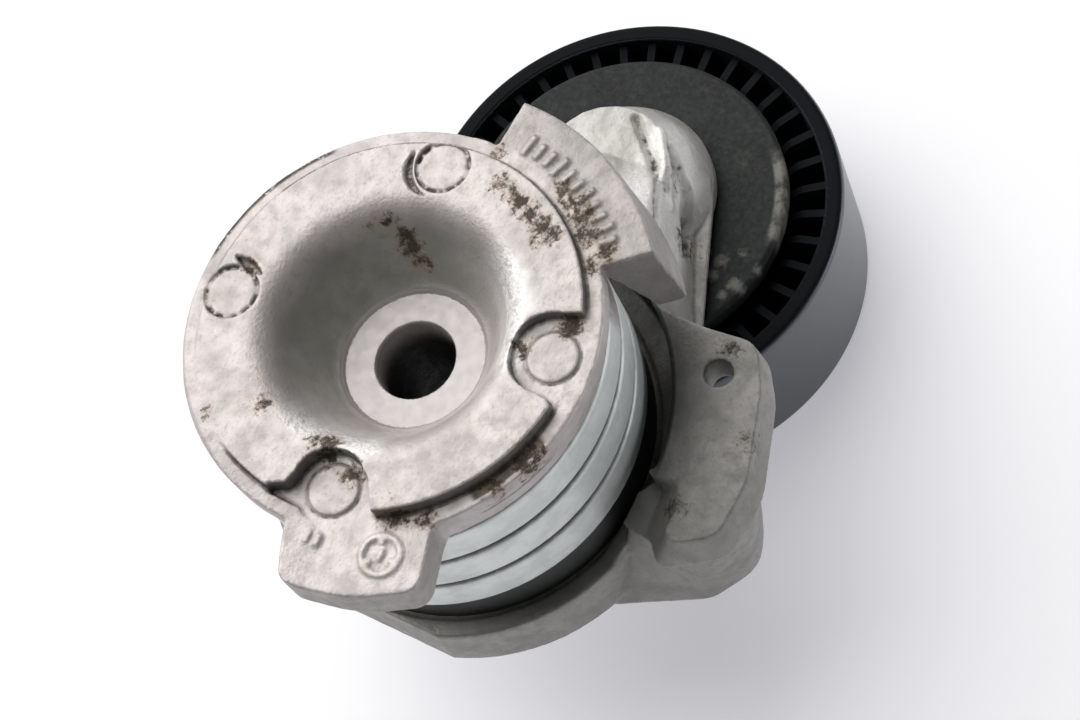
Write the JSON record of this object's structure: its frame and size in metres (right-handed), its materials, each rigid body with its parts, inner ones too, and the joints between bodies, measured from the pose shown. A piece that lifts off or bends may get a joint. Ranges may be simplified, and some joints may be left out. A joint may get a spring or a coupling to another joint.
{
  "type": "belt tensioner idler",
  "caption": "Automatic belt tensioner: a fixed die-cast base, a coiled torsion spring and a cast arm that swings and carries a smooth ribbed-web idler pulley.",
  "frame": {"origin": "centre of the bolt bore, at the machined seat at the bottom of the conical recess", "axes": "+Z along the bolt bore to the engine side, +X to the pulley's axis, with the arm on its free stop"},
  "size_m": [0.1217, 0.0827, 0.082],
  "materials": {
    "base_cast": "die-cast, lightly corroded",
    "arm_cast": "die-cast, dulled and grimy",
    "spring_wire": "satin zinc",
    "pulley_polymer": "moulded",
    "polymer_black": "moulded",
    "seal_rubber": "matte",
    "shield_steel": "dark phosphate",
    "bearing_steel": "ground",
    "bolt_steel": "zinc"
  },
  "bodies": {
    "base": {"base_casting": "base_cast", "retaining_plate": "bearing_steel", "friction_disc": "polymer_black", "spring_guide": "polymer_black", "torsion_spring": "spring_wire"},
    "arm": {"tensioner_arm": "arm_cast", "spring_seat": "polymer_black", "pivot_bush": "polymer_black", "bush_seal": "seal_rubber", "bearing_sleeve": "bearing_steel", "dust_shield_rear": "shield_steel", "dust_shield_front": "shield_steel", "pulley_bolt": "bolt_steel", "bearing_inner_ring": "bearing_steel"},
    "pulley": {"pulley_rim": "pulley_polymer", "bearing_outer_ring": "bearing_steel", "bearing_seal_rear": "seal_rubber", "bearing_seal_front": "seal_rubber"},
    "cage": {"bearing_cage": "polymer_black", "bearing_balls": "bearing_steel"}
  },
  "joints": [
    {"name": "arm_swing", "type": "hinge", "parent": "base", "child": "arm", "pos_m": [0, 0, 0], "axis": [0, 0, 1], "range_deg": [0, 65], "stiffness_Nm_per_rad": 18, "springref_deg": -45.84, "deforming": ["torsion_spring"]},
    {"name": "pulley_spin", "type": "hinge", "parent": "arm", "child": "pulley", "pos_m": [0.0485, 0, -0.055], "axis": [0, 0, 1], "continuous": true},
    {"name": "cage_spin", "type": "hinge", "parent": "arm", "child": "cage", "pos_m": [0.0485, 0, -0.055], "axis": [0, 0, 1], "continuous": true}
  ],
  "couplings": [
    {"joint": "cage_spin", "follows": "pulley_spin", "ratio": 0.6184}
  ]
}
